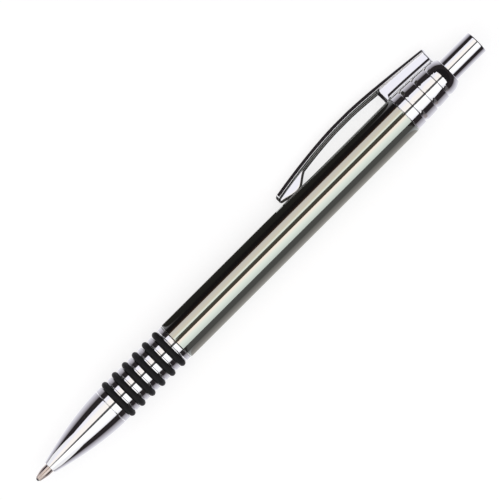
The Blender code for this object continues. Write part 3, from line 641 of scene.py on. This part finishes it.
class CLICKPEN_OT_rear_housing(bpy.types.Operator):
    """The bright housing behind the barrel, with three grooves, a domed end and a lip at the button"""

    bl_idname = "click_pen.rear_housing"
    bl_label = "Rear housing"

    def execute(self, context):
        """A groove's wall drops at once and its floor climbs back as a power curve; the end is a wide arc."""
        sizes = context.scene.click_pen_sizes
        edge = sizes.edge / MM
        low, high = housing_span()
        spigot_from = span("top_housing")[0]
        spigot, seat, chamber, lip = 4.25, 3.7, 3.37, reach_of_button() + 0.15
        depth, length = sizes.groove_depth / MM, sizes.groove_length / MM
        count, head, pitch, lip_run, steepness = 3, 2.3, 3.82, 0.07, 1.15
        dome_run, dome_r, rim = 1.9, 4.0, 0.3
        along = np.linspace(low + 0.15, high - rim, 560)
        outer = housing_radius(along)
        for number in range(count):
            into = along - (low + head + pitch * number)
            floor = np.clip((length - into) / (length - lip_run), 0.0, 1.0) ** steepness
            outer = outer - depth * floor * np.clip(into / lip_run, 0.0, 1.0)
        into_dome = np.clip(along - (high - rim - dome_run), 0.0, None)
        outer = outer - dome_r + np.sqrt(dome_r**2 - into_dome**2)
        wall = np.stack((outer, along), axis=1)
        tilt = math.asin(dome_run / dome_r)
        turn = np.linspace(tilt + 0.05, math.pi * 0.5, 12)
        crown = float(outer[-1]) - rim * math.cos(tilt)
        rise = (np.sin(turn) - math.sin(tilt)) / (1.0 - math.sin(tilt))
        dome = np.stack((crown + rim * np.cos(turn), high - rim + rim * rise), axis=1)
        foot = float(housing_radius(low))
        front = softened([(spigot, spigot_from + 0.5, 0), (spigot, low, edge), (foot, low, edge),
                          (foot, low + 0.14, 0)], closed=False)
        inside = softened([(crown - 0.03, high, 0), (lip, high, edge), (lip, high - 1.3, edge),
                           (chamber, high - 1.3, edge), (chamber, low + 2.8, edge),
                           (seat, low + 2.8, edge),
                           (seat, spigot_from, edge), (spigot, spigot_from, edge),
                           (spigot, spigot_from + 0.4, 0)],
                          closed=False)
        profile = np.concatenate((front, wall, dome, inside))
        piece = add_piece("rear_housing", turned(profile, sizes.round_steps), chrome_finish())
        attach(piece, "casing")
        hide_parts("top_housing")
        return {"FINISHED"}


# The clip.


def clip_line(along):
    """The clip's outer line: a flat crest that falls away as a power curve on both sides."""
    crest = float(measures("clip_arm")[:, 1].max())
    root = span("clip_block")[0]
    rear = np.clip(along - (root - 7.6), 0.0, None)
    front = np.clip((root - 11.6) - along, 0.0, None)
    return crest - 0.0197 * front**1.586 - 0.0359 * rear**1.3


CLIP_THICK = 0.95
CLIP_HALF = 1.6
WEB_HALF = 0.9


def end_rounding(along, low, high, front, back):
    """One along the middle, falling as a quarter ellipse to nothing over each end's own length."""
    ahead = np.clip((low + front - along) / front, 0.0, 1.0)
    behind = np.clip((along - (high - back)) / back, 0.0, 1.0)
    return np.sqrt(np.clip(1.0 - ahead**2, 0.0, 1.0)) * np.sqrt(np.clip(1.0 - behind**2, 0.0, 1.0))


def crowded(low, high, front, back, count):
    """Stations from end to end, drawn together as a cosine where the ends are rounded."""
    turn = np.linspace(0.0, math.pi * 0.5, 12)
    start = low + front * (1.0 - np.cos(turn))
    finish_part = high - back * (1.0 - np.sin(turn))
    middle = np.linspace(low + front, high - back, count)[1:-1]
    return np.concatenate((start, middle, finish_part))


class CLICKPEN_OT_clip(bpy.types.Operator):
    """The clip: one springing strip, the block that holds it and the foot that presses on the barrel"""

    bl_idname = "click_pen.clip"
    bl_label = "Clip"

    def execute(self, context):
        """Sections carried along the pen under the clip's line.

        The strip's section leans in at the sides, and its belly falls by one less the square of the
        place across it. The block's sides rise from a hollow quarter, and its prow narrows as a power
        of the place along it. The foot's depth is a bell curve, broader towards the free end.
        """
        sizes = context.scene.click_pen_sizes
        chrome = chrome_finish()
        arm, block = span("clip_arm"), span("clip_block")
        draft = sizes.strip_draft / MM

        half, side, hull = CLIP_HALF, 1.0, 0.45
        inset = half - 0.35
        lowest = -side - hull * (1.0 - (inset / half) ** 2)
        rim = [(inset, lowest, 0), (half, -side, 0.1), (half - draft, 0.0, 0.16),
               (-half + draft, 0.0, 0.16), (-half, -side, 0.1), (-inset, lowest, 0)]
        belly = np.linspace(-inset + 0.1, inset - 0.1, 24)
        belly = np.stack((belly, -side - hull * (1.0 - (belly / half) ** 2)), axis=1)
        section = np.concatenate((softened(rim, closed=False, steps=14), belly))
        low, high = arm[0], block[1]
        along = crowded(low, high, 1.2, 0.5, 160)
        width = end_rounding(along, low, high, 1.2, 0.5)[:, None]
        thick = end_rounding(along, low, high, 0.35, 0.5)
        thick = thick * (1.0 - 0.3 * np.clip((along - block[0]) / (high - block[0]), 0.0, 1.0))
        under = 0.5 * side * (thick[:, None] - 1.0) + section[:, 1] * thick[:, None]
        grid = row_places(section[:, 0] * width, clip_line(along)[:, None] + under, along[:, None])
        strip = add_piece("clip_strip", grid, chrome_finish(), loop=False)
        bend = [row_place(0.0, float(clip_line(place)), place) for place in (block[0] - 5.0, block[0])]
        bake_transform(strip)
        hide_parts("clip_arm")

        low, high = block[0], block[1] - 0.25
        along = np.concatenate((np.linspace(low, low + 0.95, 16),
                                crowded(low + 1.0, high, 0.1, 0.4, 110)))
        width = 1.0 - np.clip((low + 0.95 - along) / 0.95, 0.0, 1.0) ** 1.2
        width = width * end_rounding(along, low - 1.0, high, 0.1, 0.4)
        seat = np.where(along < housing_span()[0], reach("barrel_tube") + 0.02, housing_radius(along))
        hollow = sizes.web_fillet / MM * np.clip((along - housing_span()[0]) / 0.6 + 0.15, 0.12, 1.0)
        centre_across = WEB_HALF + hollow
        centre_up = np.sqrt((seat + hollow) ** 2 - centre_across**2)
        meet = np.arctan2(centre_across, centre_up)
        top = clip_line(along) - CLIP_THICK + 0.3
        side = arrange_side(centre_across, centre_up, hollow, meet, seat, top)
        across = np.concatenate((side[0], -side[0][::-1])).T * width[:, None]
        up = np.concatenate((side[1], side[1][::-1])).T
        web = add_piece("clip_web", row_places(across, up, along[:, None]), chrome, loop=False)
        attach(web, "casing")
        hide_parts("clip_block")

        low, high = arm[0] + 0.15, arm[0] + 11.5
        along = crowded(low, high, 0.9, 0.5, 90)
        width = end_rounding(along, low, high, 0.9, 0.5)[:, None]
        foot_at, front, back = arm[0] + 5.2, 4.1, 2.9
        away = along - foot_at
        bell = np.exp(-((away / np.where(away > 0.0, back, front)) ** 2))
        fall = clip_line(foot_at) - CLIP_THICK - reach("barrel_tube") - 0.15
        under = clip_line(along) - CLIP_THICK - fall * bell
        top = clip_line(along) - CLIP_THICK + 0.3
        outline = softened([(-WEB_HALF, 0.0, 0.05), (WEB_HALF, 0.0, 0.05), (WEB_HALF - 0.08, 1.0, 0.12),
                            (-WEB_HALF + 0.08, 1.0, 0.12)])
        up = top[:, None] - outline[:, 1] * (top - under)[:, None]
        foot = add_piece("clip_foot", row_places(outline[:, 0] * width, up, along[:, None]), chrome,
                         loop=False)
        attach(foot, "clip")
        return {"FINISHED"}


def arrange_side(centre_across, centre_up, hollow, meet, seat, top):
    """One side of the block's section: from inside the housing, out along a hollow quarter, and up.

    The hollow is an arc about a centre that stands its own radius off both the side face and the
    housing's round surface.
    """
    share = np.linspace(0.0, 1.0, 26)[:, None]
    start = math.pi + meet
    turn = start + (math.pi * 1.5 - start) * share
    arc_across = centre_across + hollow * np.sin(turn)
    arc_up = centre_up + hollow * np.cos(turn)
    buried = (seat - 0.4)[None]
    inside_across = buried * np.sin(meet)
    inside_up = buried * np.cos(meet)
    rise = np.linspace(0.02, 1.0, 8)[:, None]
    face_across = np.broadcast_to(arc_across[-1:], (8, arc_across.shape[1]))
    face_up = arc_up[-1:] + (top - arc_up[-1:]) * rise
    across = np.concatenate((inside_across, arc_across, face_across))
    return across, np.concatenate((inside_up, arc_up, face_up))


# The button, the refill and the click parts.


def reach_of_button():
    """The button's radius outside the housing, in millimetres."""
    places = measures("push_button")
    outside = places[places[:, 2] > span("top_housing")[1] + 0.5]
    return float(np.hypot(outside[:, 0], outside[:, 1]).max())


class CLICKPEN_OT_button(bpy.types.Operator):
    """The push button: a plain cap with a soft top edge and the flange that keeps it in the housing"""

    bl_idname = "click_pen.button"
    bl_label = "Button"

    def execute(self, context):
        """A softened profile carried round the axis, from the middle of its top to its ceiling."""
        sizes = context.scene.click_pen_sizes
        edge = sizes.edge / MM
        low, high = span("push_button")
        wide, flange = reach_of_button(), reach("push_button")
        bore = wide - 0.5
        profile = softened([(0.0, high, 0), (wide, high, 0.25), (wide, low + 1.2, edge),
                            (flange, low + 1.2, edge),
                            (flange, low, edge), (bore, low, edge), (bore, high - 1.3, 0.2),
                            (0.0, high - 1.3, 0)],
                           closed=False)
        cap = add_piece("button_cap", turned(profile, sizes.round_steps), chrome_finish(),
                        loop=False)
        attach(cap, "button")
        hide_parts("push_button")
        return {"FINISHED"}


class CLICKPEN_OT_refill(bpy.types.Operator):
    """The refill's tube with its collar, its turned writing point and the ball that rolls in it"""

    bl_idname = "click_pen.refill"
    bl_label = "Refill"

    def execute(self, context):
        """Profiles carried round the axis; the point narrows as a power curve to its rolled-over lip."""
        sizes = context.scene.click_pen_sizes
        colours = context.scene.click_pen_colours
        low, high = span("refill_tube")
        collar = span("return_spring")[1] + 0.15
        wide, bore = 1.5, 1.25
        corners = [(bore, low, 0.03), (wide, low, 0.05), (wide, low + 1.2, 0.05),
                   (wide - 0.06, low + 1.3, 0.05),
                   (wide - 0.06, low + 1.6, 0.05), (wide, low + 1.7, 0.05), (wide, collar, 0.05),
                   (wide + 0.6, collar, 0.05), (wide + 0.6, collar + 0.5, 0.1), (wide, collar + 0.8, 0.1),
                   (wide, high, 0.05), (bore, high, 0.03)]
        steel = turned_finish("drawn_steel", colours.steel, 900.0, 0.22)
        body = add_piece("refill_body", turned(softened(corners), 96), steel)
        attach(body, "refill")
        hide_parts("refill_tube")

        ball = 0.5
        low, high = span("refill_point")
        lip, wide, cone = ball + 0.14, 1.15, 2.6
        along = np.linspace(low + 0.02, low + cone, 40)
        swell = wide - (wide - lip) * (1.0 - (along - low) / cone) ** 1.45
        shoulder = 10.9
        rear = softened([(wide, low + cone + 0.1, 0), (wide, shoulder, 0.05),
                         (1.45, shoulder + 0.2, 0.05),
                         (1.45, shoulder + 1.3, 0.05), (1.1, shoulder + 1.3, 0.05), (1.1, high, 0.05),
                         (0.3, high, 0.05), (0.3, 1.06, 0.1), (ball + 0.06, 0.9, 0.05),
                         (ball + 0.06, low, 0.02),
                         (lip, low, 0.02), (lip + 0.01, low + 0.02, 0)], closed=False)
        profile = np.concatenate((np.stack((swell, along), axis=1), rear))
        tip = turned_finish("point_metal", colours.point, 3000.0, 0.16)
        point = add_piece("refill_tip", turned(profile, 96), tip)
        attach(point, "refill")
        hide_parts("refill_point")

        angle = np.linspace(0.0, math.pi, 33)
        profile = np.stack((ball * np.sin(angle), ball - ball * np.cos(angle)), axis=1)
        profile[[0, -1], 0] = 0.0
        carbide = moulded_finish("ball_carbide", colours.carbide, 30000.0, 0.12)
        rolling = add_piece("writing_ball", turned(profile, 48), carbide, loop=False)
        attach(rolling, "ball")
        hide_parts("refill_ball")
        return {"FINISHED"}


class CLICKPEN_OT_return_spring(bpy.types.Operator):
    """The return spring, with its last turns closed"""

    bl_idname = "click_pen.return_spring"
    bl_label = "Return spring"

    def execute(self, context):
        """A circle carried along a helix whose climb is slow in its first and last turns.

        The climb follows a smooth step mixed with a straight line, and the wire's radius falls to
        nothing at both ends to close them.
        """
        wire = context.scene.click_pen_sizes.wire / MM
        low, high = span("return_spring")
        low, high = low + wire, high - wire
        turns, mean = 9.0, reach("return_spring") - wire
        steps = 700
        share = np.linspace(0.0, 1.0, steps)
        climb = share + 0.6 * (share**2 * (3.0 - 2.0 * share) - share)
        angle = math.tau * turns * share
        outwards = np.stack((np.cos(angle), np.sin(angle), np.zeros_like(angle)), axis=1)
        path = outwards * mean
        path[:, 2] = low + (high - low) * climb
        run = np.gradient(path, axis=0)
        run /= np.linalg.norm(run, axis=1, keepdims=True)
        upwards = np.cross(run, outwards)
        round_wire = np.linspace(0.0, math.tau, 14, endpoint=False)[None, :, None]
        radius = np.full((steps, 1, 1), wire)
        radius[[0, -1]] = 0.0
        around = np.cos(round_wire) * outwards[:, None] + np.sin(round_wire) * upwards[:, None]
        places = path[:, None] + radius * around
        grid = row_places(places[..., 0], places[..., 1], places[..., 2])
        steel = turned_finish("drawn_steel", context.scene.click_pen_colours.steel, 900.0, 0.22)
        spring = add_piece("coil_spring", grid, steel, loop=False)
        row_place(0.0, 0.0, low)
        row_place(0.0, 0.0, high)
        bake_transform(spring)
        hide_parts("return_spring")
        return {"FINISHED"}


class CLICKPEN_OT_click_parts(bpy.types.Operator):
    """The moulded cam sleeve, rotor and plunger, which keep their CAD shapes and get their finishes"""

    bl_idname = "click_pen.click_parts"
    bl_label = "Click parts"

    def execute(self, context):
        colours = context.scene.click_pen_colours
        pale = moulded_finish("pale_nylon", colours.pale_nylon, 5000.0, 0.4)
        dark = moulded_finish("dark_nylon", colours.dark_nylon, 5000.0, 0.38)
        for node, nylon in (("cam_sleeve", pale), ("cam_rotor", dark), ("cam_plunger", dark)):
            for kept in frame["nodes"][node].material_slots:
                kept.link = "OBJECT"
                kept.material = nylon
        return {"FINISHED"}


# The stage.


def card(name, corners, colour, glow=(0.0, 0.0, 0.0), seen_by=("diffuse", "glossy", "shadow")):
    """A flat matt stage card with its own even glow, seen only by the kinds of ray named."""
    mesh = bpy.data.meshes.new(name)
    mesh.from_pydata([tuple(corner) for corner in corners], [], [(0, 1, 2, 3)])
    made = bpy.data.materials.new(name)
    made.use_nodes = True
    shader = made.node_tree.nodes["Principled BSDF"]
    shader.inputs["Base Color"].default_value = (*colour, 1.0)
    shader.inputs["Roughness"].default_value = 1.0
    shader.inputs["Specular IOR Level"].default_value = 0.0
    shader.inputs["Emission Color"].default_value = (*glow, 1.0)
    shader.inputs["Emission Strength"].default_value = 1.0
    mesh.materials.append(made)
    piece = bpy.data.objects.new(name, mesh)
    bpy.context.scene.collection.objects.link(piece)
    for kind in ("camera", "diffuse", "glossy", "shadow"):
        setattr(piece, f"visible_{kind}", kind in seen_by)
    return piece


def graded_glow(piece, axis, stops):
    """Lets a card's glow change across it: stops are (distance from the pen's axis, colour) pairs."""
    tree = piece.data.materials[0].node_tree
    parts = tree.nodes.new("ShaderNodeSeparateXYZ")
    link(tree, tree.nodes.new("ShaderNodeTexCoord").outputs["Object"], parts.inputs[0])
    away = math_node(tree, "SUBTRACT", parts.outputs[axis], float(TIP["XYZ".index(axis)]))
    away = math_node(tree, "ABSOLUTE", away, 0.0)
    ramp = tree.nodes.new("ShaderNodeValToRGB")
    furthest = stops[-1][0]
    link(tree, math_node(tree, "DIVIDE", away, furthest), ramp.inputs["Fac"])
    ends = ramp.color_ramp.elements
    ends[0].position, ends[0].color = stops[0][0] / furthest, (*stops[0][1], 1.0)
    ends[1].position, ends[1].color = 1.0, (*stops[-1][1], 1.0)
    for distance, colour in stops[1:-1]:
        ends.new(distance / furthest).color = (*colour, 1.0)
    link(tree, ramp.outputs["Color"], tree.nodes["Principled BSDF"].inputs["Emission Color"])


class CLICKPEN_OT_stage(bpy.types.Operator):
    """A pale floor, two long soft boxes, cards that only reflections see, and the camera"""

    bl_idname = "click_pen.stage"
    bl_label = "Stage"

    def execute(self, context):
        """Two soft boxes face the pen's axis; a ring of cards, with gaps, stands round it as a polygon.

        Every card but the floor is seen by reflections and never by the camera. The cards below the
        floor take its place in the chrome, and fade with their distance from the pen's axis.
        """
        scene = context.scene
        middle = np.array(row_place(0.0, 0.0, 70.0))
        floor_colour = tuple(scene.click_pen_colours.floor)
        black, soft_black, box_white = (0.0, 0.0, 0.0), (0.032, 0.027, 0.029), (1.4, 1.4, 1.4)
        reflected, hidden = ("glossy",), ("diffuse", "glossy", "shadow")
        floor = [(-3, -3, 0), (3, -3, 0), (3, 3, 0), (-3, 3, 0)]
        card("floor", floor, floor_colour, (0.72, 0.72, 0.72), ("camera", "diffuse", "shadow"))

        def strip_card(name, x, y, z, glow, seen_by=reflected):
            corners = [(x[0], y[0], z), (x[1], y[0], z), (x[1], y[1], z), (x[0], y[1], z)]
            return card(name, corners, black, glow, seen_by)

        below = -0.0005
        lilac = [(0.006, (0.97, 0.97, 1.0)), (0.011, (0.74, 0.73, 0.79)), (0.022, (0.5, 0.48, 0.53)),
                 (0.06, (0.28, 0.265, 0.29)), (0.3, (0.1, 0.095, 0.1))]
        mauve = [(0.006, (0.55, 0.52, 0.5)), (0.011, (0.44, 0.4, 0.4)), (0.022, (0.31, 0.27, 0.28)),
                 (0.06, (0.22, 0.2, 0.2)), (0.3, (0.12, 0.12, 0.12))]
        barrel_ends = [row_place(0.0, 0.0, place)[0] for place in span("barrel_tube")]
        middle_y = float(middle[1])
        for name, x in (("tip_side", (-1.5, barrel_ends[0])), ("button_side", (barrel_ends[1], 1.5))):
            for half, y in (("near", (middle_y, 1.5)), ("far", (-1.5, middle_y))):
                graded_glow(strip_card(f"bright_floor_{name}_{half}", x, y, below, lilac[0][1]), "Y",
                            lilac)
        strip_card("dark_floor", barrel_ends, (middle_y, 1.5), below, (0.042, 0.04, 0.036))
        graded_glow(strip_card("mauve_floor", barrel_ends, (-1.5, middle_y), below, mauve[0][1]), "Y",
                    mauve)
        clip_x = (row_place(0.0, 0.0, span("clip_arm")[0] - 2.0)[0], barrel_ends[1])
        strip_card("clip_floor", clip_x, (middle_y + 0.0056, middle_y + 0.0092), 0.8 * below,
                   (0.97, 0.97, 0.98))
        slate_y, slate_x = middle_y - 0.15, [middle[0] + (end - middle[0]) * 1.15 for end in barrel_ends]
        slate = [(slate_x[0], slate_y, 0.008), (slate_x[1], slate_y, 0.008), (slate_x[1], slate_y, 0.105),
                 (slate_x[0], slate_y, 0.105)]
        card("slate_flag", slate, black, (0.112, 0.105, 0.108), reflected)

        distance, half_width, half_length = 0.5, 0.233, 0.8
        cream = [(0.05, (1.14, 1.08, 1.02)), (0.26, (1.12, 1.07, 1.01)), (0.33, (1.02, 1.01, 1.08)),
                 (0.46, (0.99, 0.98, 1.05))]
        white = [(0.05, (1.4, 1.4, 1.4)), (0.25, (1.3, 1.3, 1.3)), (0.46, (0.95, 0.95, 0.98))]
        lean_off = math.radians(31.0)
        boxes = (("soft_box_clip_side", lean_off, cream), ("soft_box_far_side", -lean_off, white))
        for name, lean, falloff in boxes:
            centre = middle + distance * np.array((0.0, math.sin(lean), math.cos(lean)))
            width = half_width * np.array((0.0, math.cos(lean), -math.sin(lean)))
            length = np.array((half_length, 0.0, 0.0))
            corners = [centre - width - length, centre + width - length,
                       centre + width + length, centre - width + length]
            graded_glow(card(name, corners, black, box_white, hidden), "Y", falloff)
        high = float(middle[2]) + 0.62
        strip_card("middle_flag", (middle[0] - 0.9, middle[0] + 0.9), (middle_y - 0.09, middle_y + 0.09),
                   high, (0.1, 0.1, 0.1))
        near = float(middle[2]) + 0.3
        end_x = row_place(0.0, 0.0, span("top_housing")[1])[0] + 0.075
        strip_card("end_flag", (end_x, end_x + 0.55), (middle_y - 0.5, middle_y + 0.5), near + 0.001,
                   (0.014, 0.013, 0.014))
        barrel_view = [middle[0] + (end - middle[0]) * 4.0 / 3.0 for end in barrel_ends]
        strip_card("barrel_flag", barrel_view, (middle_y - 0.037, middle_y + 0.072), near,
                   (0.08, 0.075, 0.06))

        wide_view = [middle[0] + (end - middle[0]) * 5.0 / 3.0 for end in barrel_ends]
        strip_card("maroon_flag", wide_view, (middle_y + 0.428, middle_y + 0.66), near, (0.1, 0.05, 0.03))

        ring_steps, card_steps, ring_reach = 96, 4, 0.56
        angle = np.linspace(0.0, math.tau, ring_steps + 1)
        ring = middle + ring_reach * np.stack((np.cos(angle), np.sin(angle), np.zeros_like(angle)),
                                              axis=1)
        open_places = (32, 36, 56, 60)
        foot, top = 0.0, middle[2] + 0.378
        for number in sorted(set(range(0, ring_steps, card_steps)) - set(open_places)):
            start, end = ring[number], ring[number + card_steps]
            corners = [(start[0], start[1], foot), (end[0], end[1], foot),
                       (end[0], end[1], top), (start[0], start[1], top)]
            card(f"side_flag_{number}", corners, soft_black, black, hidden)

        world = bpy.data.worlds.new("studio")
        world.use_nodes = True
        world.node_tree.nodes["Background"].inputs["Color"].default_value = (1.0, 1.0, 1.0, 1.0)
        world.node_tree.nodes["Background"].inputs["Strength"].default_value = 1.0
        scene.world = world
        scene.view_settings.view_transform = "Standard"

        turn = math.radians(44.9)
        right = Vector((math.cos(turn), -math.sin(turn), 0.0))
        up = Vector((math.sin(turn), math.cos(turn), 0.0))
        target = Vector(middle) - right * 0.00169 + up * 0.00248
        lens = bpy.data.cameras.new("camera")
        height, sensor, view_width = 0.9, 36.0, 0.11264
        lens.lens = sensor * height / view_width
        lens.clip_start, lens.clip_end = 0.01, 20.0
        camera = bpy.data.objects.new("camera", lens)
        scene.collection.objects.link(camera)
        place = target + Vector((0.0, 0.0, height))
        camera.matrix_world = Matrix((
            (right.x, up.x, 0.0, place.x),
            (right.y, up.y, 0.0, place.y),
            (right.z, up.z, 1.0, place.z),
            (0.0, 0.0, 0.0, 1.0),
        ))
        scene.camera = camera
        return {"FINISHED"}


MAKERS = (
    CLICKPEN_OT_nose_shell,
    CLICKPEN_OT_grip_core,
    CLICKPEN_OT_grip_rings,
    CLICKPEN_OT_barrel,
    CLICKPEN_OT_rear_housing,
    CLICKPEN_OT_clip,
    CLICKPEN_OT_button,
    CLICKPEN_OT_refill,
    CLICKPEN_OT_return_spring,
    CLICKPEN_OT_click_parts,
    CLICKPEN_OT_stage,
)


class CLICKPEN_PT_sidebar(bpy.types.Panel):
    """The pen's makers, sizes and colours"""

    bl_idname = "CLICKPEN_PT_sidebar"
    bl_label = "Click pen"
    bl_space_type = "VIEW_3D"
    bl_region_type = "UI"
    bl_category = "Click pen"

    def draw(self, context):
        for maker in MAKERS:
            self.layout.operator(maker.bl_idname)
        for settings in (context.scene.click_pen_sizes, context.scene.click_pen_colours):
            box = self.layout.box()
            for name in settings.__annotations__:
                box.prop(settings, name)


CLASSES = (ClickPenSizes, ClickPenColours, *MAKERS, CLICKPEN_PT_sidebar)


def register():
    for made in CLASSES:
        bpy.utils.register_class(made)
    bpy.types.Scene.click_pen_sizes = PointerProperty(type=ClickPenSizes)
    bpy.types.Scene.click_pen_colours = PointerProperty(type=ClickPenColours)


def unregister():
    del bpy.types.Scene.click_pen_sizes
    del bpy.types.Scene.click_pen_colours
    for made in reversed(CLASSES):
        bpy.utils.unregister_class(made)


def main():
    register()
    for maker in MAKERS:
        group, name = maker.bl_idname.split(".")
        getattr(getattr(bpy.ops, group), name)()


if __name__ == "__main__":
    main()
